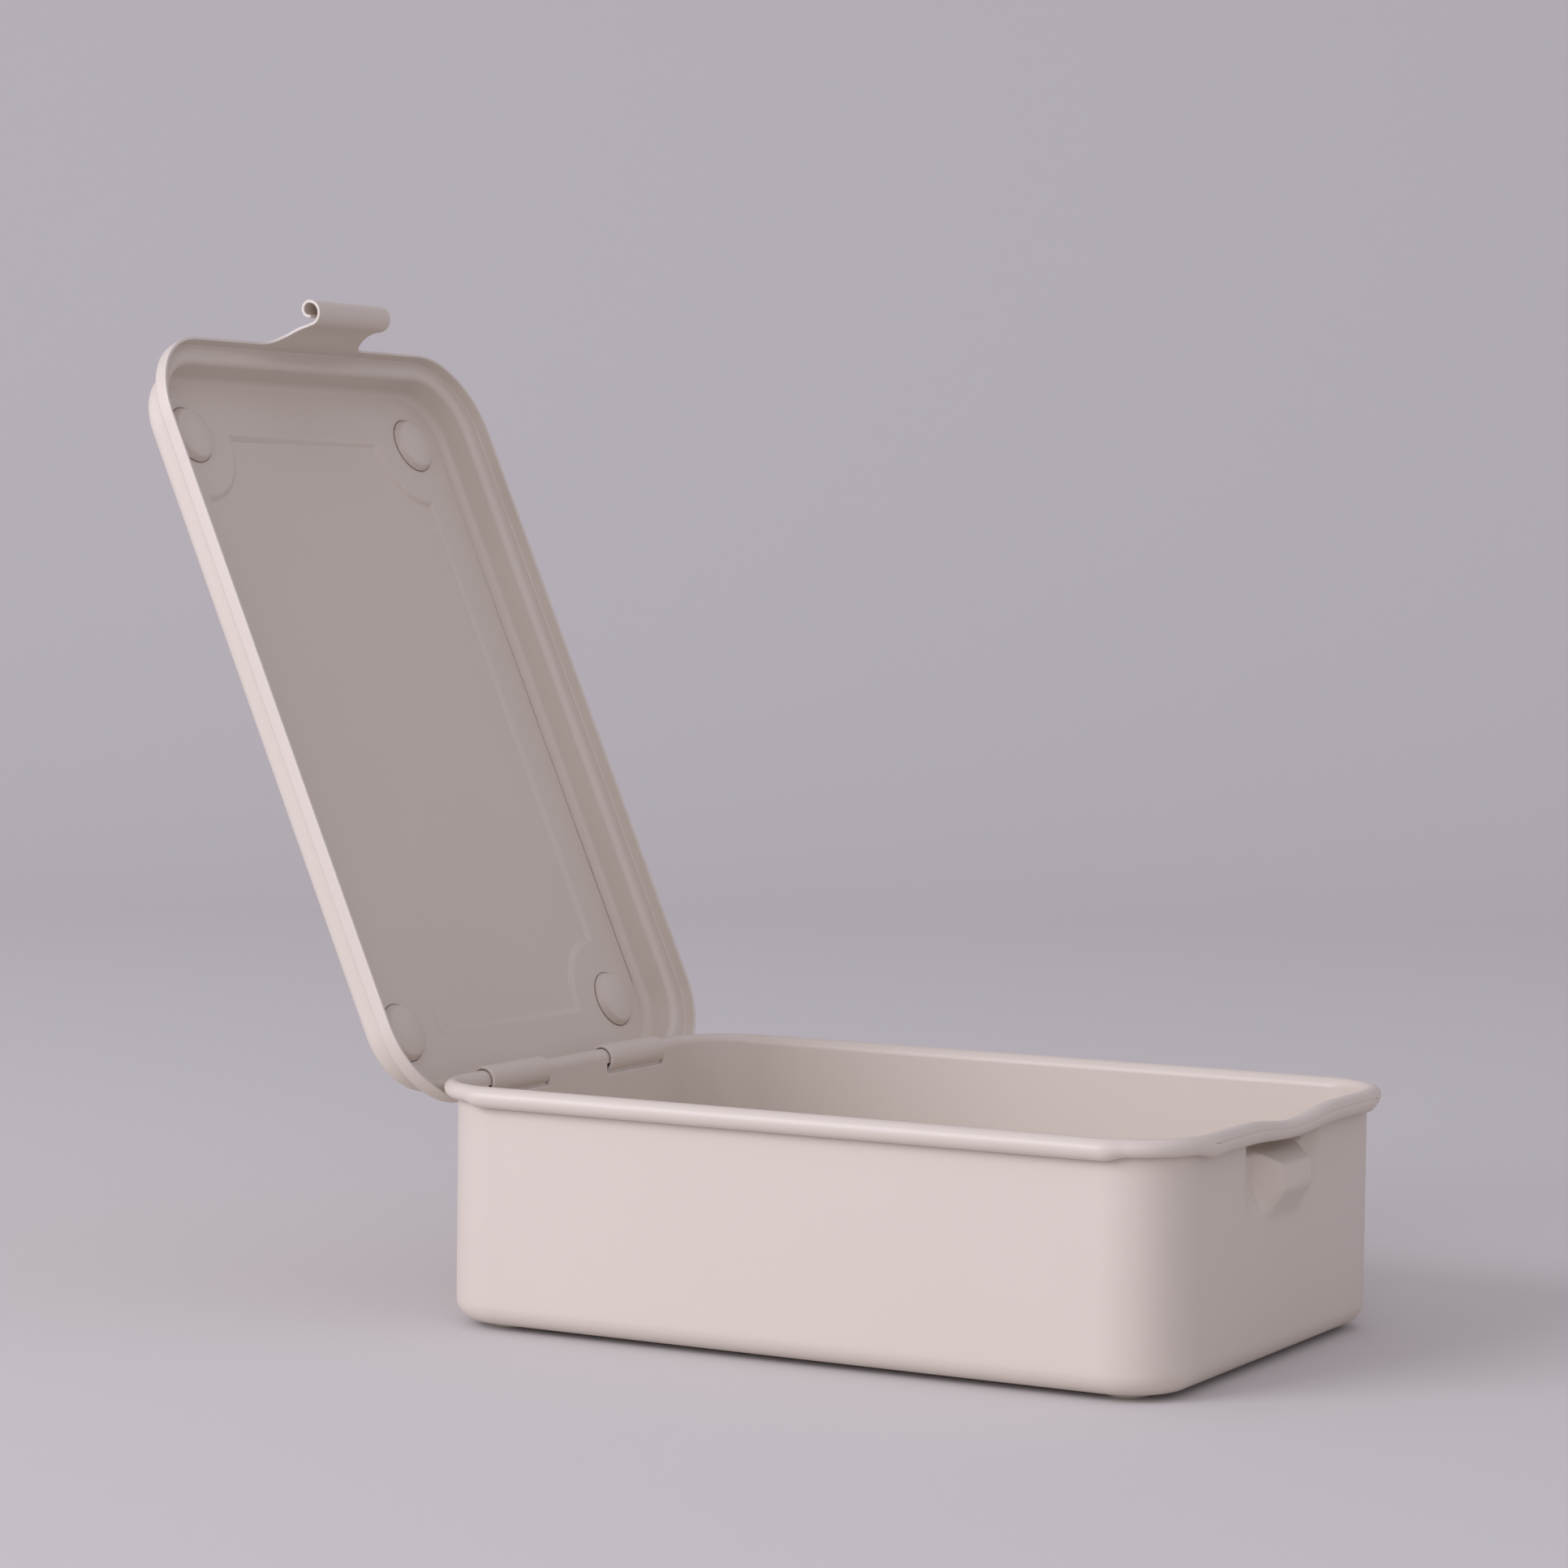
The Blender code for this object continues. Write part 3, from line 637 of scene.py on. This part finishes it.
# %% The orange-peel group
def orange_peel_group():
    group, start, end = new_group(
        "orange_peel",
        {"Position": (VECTOR, None), "Dimples per metre": (FLOAT, 700.0), "Grain": (FLOAT, 0.3)},
        {"Height": FLOAT},
    )
    broad = add_node(group, "ShaderNodeTexNoise", values={"Detail": 1.0, "Roughness": 0.4},
                     links={"Vector": start.outputs[0], "Scale": start.outputs[1]})
    finer = add_node(group, "ShaderNodeMath", operation="MULTIPLY", values={1: 3.7},
                     links={0: start.outputs[1]})
    grain = add_node(group, "ShaderNodeTexNoise", values={"Detail": 0.0},
                     links={"Vector": start.outputs[0], "Scale": finer.outputs[0]})
    height = add_node(group, "ShaderNodeMath", operation="MULTIPLY_ADD",
                      links={0: grain.outputs[0], 1: start.outputs[2], 2: broad.outputs[0]})
    group.links.new(height.outputs[0], end.inputs[0])
    return group


orange_peel = orange_peel_group()
print("orange peel:", len(orange_peel.nodes), "nodes")

# %% [markdown]
# ### Tone drift
# A slow noise moves the paint between two close tones, and a second one speckles it faintly.

# %% The tone-drift group
def tone_drift_group():
    group, start, end = new_group(
        "tone_drift",
        {"Position": (VECTOR, None), "Tone": (COLOR, None), "Deeper tone": (COLOR, None),
         "Speckle": (FLOAT, 0.15)},
        {"Color": COLOR, "Drift": FLOAT},
    )
    slow = add_node(group, "ShaderNodeTexNoise", values={"Scale": 16.0, "Detail": 2.0},
                    links={"Vector": start.outputs[0]})
    speck = add_node(group, "ShaderNodeTexNoise", values={"Scale": 1900.0, "Detail": 1.0},
                     links={"Vector": start.outputs[0]})
    centred = add_node(group, "ShaderNodeMath", operation="SUBTRACT", values={1: 0.5},
                       links={0: speck.outputs[0]})
    mixed = add_node(group, "ShaderNodeMath", operation="MULTIPLY_ADD", use_clamp=True,
                     links={0: centred.outputs[0], 1: start.outputs[3], 2: slow.outputs[0]})
    colour = add_node(group, "ShaderNodeMix", data_type="RGBA",
                      links={"Factor": mixed.outputs[0], 6: start.outputs[1], 7: start.outputs[2]})
    group.links.new(colour.outputs[2], end.inputs[0])
    group.links.new(mixed.outputs[0], end.inputs[1])
    return group


tone_drift = tone_drift_group()
print("tone drift:", len(tone_drift.nodes), "nodes")

# %% [markdown]
# ### Thinned paint and a painted highlight on cut edges
# Wet paint draws back from a sharp edge, so a cut edge looks a touch duller and lighter; the
# lighter colour is partly that thinner paint and partly a painted highlight where the edge would
# catch the light. The piece's own cut_edge attribute is 1 there and fades within half a
# millimetre; noise breaks the line up so that it isn't drawn with a ruler.

# %% The edge paint and painted highlight group
def edge_paint_and_highlight_group():
    group, start, end = new_group(
        "edge_paint_and_highlight",
        {"Position": (VECTOR, None), "Nearness": (FLOAT, 0.0), "Color": (COLOR, None),
         "Edge paint and highlight color": (COLOR, None), "Amount": (FLOAT, 0.5)},
        {"Color": COLOR, "Mask": FLOAT},
    )
    patches = add_node(group, "ShaderNodeTexNoise", values={"Scale": 420.0, "Detail": 2.0},
                       links={"Vector": start.outputs[0]})
    broken = add_node(group, "ShaderNodeMapRange", values={1: 0.3, 2: 0.7, 3: 0.45, 4: 1.0},
                      links={0: patches.outputs[0]})
    mask = add_node(group, "ShaderNodeMath", operation="MULTIPLY",
                    links={0: start.outputs[1], 1: broken.outputs[0]})
    mask = add_node(group, "ShaderNodeMath", operation="MULTIPLY", use_clamp=True,
                    links={0: mask.outputs[0], 1: start.outputs[4]})
    # Mixing towards the edge colour paints the cut edges lighter: partly paint running thinner, partly
    # a painted highlight.
    colour = add_node(group, "ShaderNodeMix", data_type="RGBA",
                      links={"Factor": mask.outputs[0], 6: start.outputs[2], 7: start.outputs[3]})
    group.links.new(colour.outputs[2], end.inputs[0])
    group.links.new(mask.outputs[0], end.inputs[1])
    return group


edge_paint_and_highlight = edge_paint_and_highlight_group()
print("edge paint and highlight:", len(edge_paint_and_highlight.nodes), "nodes")

# %% [markdown]
# ### Settled dust
# Dust lies where the surface faces up, in faint clouds. The surface normal's z gives the
# first, noise the second, and the product lightens the colour and dulls the gloss.

# %% The dust group
def dust_group():
    group, start, end = new_group(
        "settled_dust",
        {"Position": (VECTOR, None), "Color": (COLOR, None), "Dust color": (COLOR, None),
         "Amount": (FLOAT, 0.1)},
        {"Color": COLOR, "Mask": FLOAT},
    )
    facing = add_node(group, "ShaderNodeNewGeometry")
    split = add_node(group, "ShaderNodeSeparateXYZ", links={0: facing.outputs["Normal"]})
    upward = add_node(group, "ShaderNodeMapRange", values={1: 0.35, 2: 1.0, 3: 0.0, 4: 1.0},
                      links={0: split.outputs[2]})
    clouds = add_node(group, "ShaderNodeTexNoise", values={"Scale": 60.0, "Detail": 5.0},
                      links={"Vector": start.outputs[0]})
    mask = add_node(group, "ShaderNodeMath", operation="MULTIPLY",
                    links={0: upward.outputs[0], 1: clouds.outputs[0]})
    mask = add_node(group, "ShaderNodeMath", operation="MULTIPLY", use_clamp=True,
                    links={0: mask.outputs[0], 1: start.outputs[3]})
    colour = add_node(group, "ShaderNodeMix", data_type="RGBA",
                      links={"Factor": mask.outputs[0], 6: start.outputs[1], 7: start.outputs[2]})
    group.links.new(colour.outputs[2], end.inputs[0])
    group.links.new(mask.outputs[0], end.inputs[1])
    return group


settled_dust = dust_group()
print("settled dust:", len(settled_dust.nodes), "nodes")

# %% [markdown]
# ### The enamel itself
# The groups feed colour, roughness and normal of one Principled shader. Gloss that is the
# same everywhere, such as the specular level, is set on the shader's own sockets.

# %% The enamel material
PAINT = (0.690, 0.615, 0.530, 1.0)
PAINT_DEEP = (0.662, 0.588, 0.504, 1.0)
# Lighter colour for cut edges: partly paint running thinner, partly a painted highlight where they
# catch the light.
PAINT_THIN_AND_EDGE_HIGHLIGHT = (0.78, 0.73, 0.67, 1.0)
DUST = (0.70, 0.67, 0.64, 1.0)
PEEL_HEIGHT = 0.004 * MM


def use_group(tree, group, links, values):
    return add_node(tree, "ShaderNodeGroup", node_tree=group, links=links, values=values)


def enamel(name, roughness):
    material = bpy.data.materials.new(name)
    material.use_nodes = True
    tree = material.node_tree
    shader = tree.nodes["Principled BSDF"]
    place = add_node(tree, "ShaderNodeTexCoord").outputs["Object"]
    nearness = add_node(tree, "ShaderNodeAttribute", attribute_name="cut_edge").outputs["Fac"]
    tone = use_group(tree, tone_drift, {"Position": place},
                     {"Tone": PAINT, "Deeper tone": PAINT_DEEP, "Speckle": 0.35})
    # Cut edges painted lighter: thinner paint and a painted highlight.
    thin_paint_and_highlight = use_group(tree, edge_paint_and_highlight,
                     {"Position": place, "Nearness": nearness, "Color": tone.outputs["Color"]},
                     {"Edge paint and highlight color": PAINT_THIN_AND_EDGE_HIGHLIGHT, "Amount": 0.6})
    dust = use_group(tree, settled_dust, {"Position": place, "Color": thin_paint_and_highlight.outputs["Color"]},
                     {"Dust color": DUST, "Amount": 0.12})
    peel = use_group(tree, orange_peel, {"Position": place},
                     {"Dimples per metre": 650.0, "Grain": 0.25})
    dull = add_node(tree, "ShaderNodeMath", operation="MULTIPLY_ADD", values={1: 0.5, 2: roughness},
                    links={0: dust.outputs["Mask"]})
    dull = add_node(tree, "ShaderNodeMath", operation="MULTIPLY_ADD", values={1: 0.12},
                    links={0: thin_paint_and_highlight.outputs["Mask"], 2: dull.outputs[0]})
    bump = add_node(tree, "ShaderNodeBump", values={"Strength": 1.0, "Distance": PEEL_HEIGHT},
                    links={"Height": peel.outputs["Height"]})
    tree.links.new(dust.outputs["Color"], shader.inputs["Base Color"])
    tree.links.new(dull.outputs[0], shader.inputs["Roughness"])
    tree.links.new(bump.outputs["Normal"], shader.inputs["Normal"])
    shader.inputs["Metallic"].default_value = 0.0
    shader.inputs["Specular IOR Level"].default_value = 0.5
    return material


tray.data.materials.append(enamel("tray_enamel", 0.40))
lid.data.materials.append(enamel("lid_enamel", 0.42))
print("finishes:", tray.data.materials[0].name, "and", lid.data.materials[0].name)

# %% [markdown]
# ## Floor and backdrop
# One sheet of paper lies under the box and curves up behind it, so no horizon shows. Its
# profile is flat, a quarter circle, then upright, carried sideways and turned to face the
# camera.

# %% The paper sweep
PAPER = (0.675, 0.645, 0.625, 1.0)
CAMERA_TURN = np.radians(28.885)
SWEEP_NEAR, SWEEP_BACK, SWEEP_R, SWEEP_TOP, SWEEP_SIDE = -4.0, 1.2, 1.6, 5.0, 5.0


def make_sweep():
    turn = np.radians(np.linspace(-90.0, 0.0, 25))
    back = SWEEP_BACK + SWEEP_R
    run = np.concatenate([[SWEEP_NEAR], SWEEP_BACK + SWEEP_R * np.cos(turn), [back]])
    rise = np.concatenate([[0.0], SWEEP_R + SWEEP_R * np.sin(turn), [SWEEP_TOP]])
    across = np.array([-SWEEP_SIDE, SWEEP_SIDE])
    grid = np.stack(np.broadcast_arrays(across[None, :], run[:, None], rise[:, None]), axis=-1)
    skin = Skin()
    skin.quads(skin.add(grid))
    turned = Matrix.Rotation(CAMERA_TURN, 3, "Z")
    mesh = bpy.data.meshes.new("paper_sweep")
    mesh.from_pydata((skin.points @ np.array(turned).T).tolist(), [], skin.faces)
    mesh.shade_smooth()
    sweep = bpy.data.objects.new("paper_sweep", mesh)
    bpy.context.scene.collection.objects.link(sweep)
    material = bpy.data.materials.new("paper")
    material.use_nodes = True
    shader = material.node_tree.nodes["Principled BSDF"]
    shader.inputs["Base Color"].default_value = PAPER
    shader.inputs["Roughness"].default_value = 0.9
    shader.inputs["Specular IOR Level"].default_value = 0.1
    mesh.materials.append(material)
    return len(skin.faces)


print("paper sweep:", make_sweep(), "faces")

# %% [markdown]
# ## Light
# The box is lit by one broad soft window from the left of the camera, by a much fainter one
# from behind the camera, and by the even glow of a pale room. The long near side is therefore
# the brightest plane. The front wall and the inside of the lid face away from the first
# window, so they only get the faint one and the room's glow.

# %% Lights and world
LIT_POINT = Vector((0.0, 0.0, 0.1))
ROOM_COLOUR, ROOM_STRENGTH = (0.90, 0.87, 1.0, 1.0), 0.62


def area_light(name, direction, distance, size, watts, colour):
    """A square area light that far along a direction, facing the middle of the box."""
    away = Vector(direction).normalized()
    data = bpy.data.lights.new(name, "AREA")
    data.shape = "SQUARE"
    data.size = size
    data.energy = watts
    data.color = colour
    light = bpy.data.objects.new(name, data)
    light.location = LIT_POINT + away * distance
    light.rotation_euler = away.to_track_quat("Z", "Y").to_euler()
    bpy.context.scene.collection.objects.link(light)
    print(f"{name}: {watts:.0f} W at {distance} m")


area_light("window", (-0.43, -0.80, 0.37), 2.4, 1.4, 35.0, (0.88, 0.88, 1.0))
area_light("second_window", (0.42, -0.86, 0.36), 2.6, 1.0, 6.0, (0.95, 0.92, 1.0))
world = bpy.data.worlds.new("pale_room")
world.use_nodes = True
room = world.node_tree.nodes["Background"]
room.inputs["Color"].default_value = ROOM_COLOUR
room.inputs["Strength"].default_value = ROOM_STRENGTH
bpy.context.scene.world = world
bpy.context.scene.view_settings.view_transform = "Standard"

# %% [markdown]
# ## Camera
# A long lens close to the floor: three degrees down, with the box turned 29 degrees, and the
# faintest roll. The camera's matrix is built from its own right, up and back directions.

# %% The camera
CAMERA_LIFT, CAMERA_ROLL = np.radians(3.036), np.radians(0.716)
CAMERA_AT = Vector((0.53779, -0.96322, 0.19367))
FOCAL_LENGTH, SENSOR = 99.06, 36.0


def camera_matrix(turn, lift, roll):
    """Columns are the camera's right, up and back directions; back points away from the box."""
    back = Vector((np.sin(turn) * np.cos(lift), -np.cos(turn) * np.cos(lift), np.sin(lift)))
    level = Vector((np.cos(turn), np.sin(turn), 0.0))
    over = back.cross(level)
    right = level * np.cos(roll) + over * np.sin(roll)
    up = over * np.cos(roll) - level * np.sin(roll)
    facing = Matrix((right, up, back)).transposed().to_4x4()
    return Matrix.Translation(CAMERA_AT) @ facing


lens = bpy.data.cameras.new("camera")
lens.sensor_width = SENSOR
lens.lens = FOCAL_LENGTH
camera = bpy.data.objects.new("camera", lens)
camera.matrix_world = camera_matrix(CAMERA_TURN, CAMERA_LIFT, CAMERA_ROLL)
bpy.context.scene.collection.objects.link(camera)
bpy.context.scene.camera = camera
print(f"camera: {CAMERA_AT.length:.2f} m away, {lens.lens:.0f} mm lens")
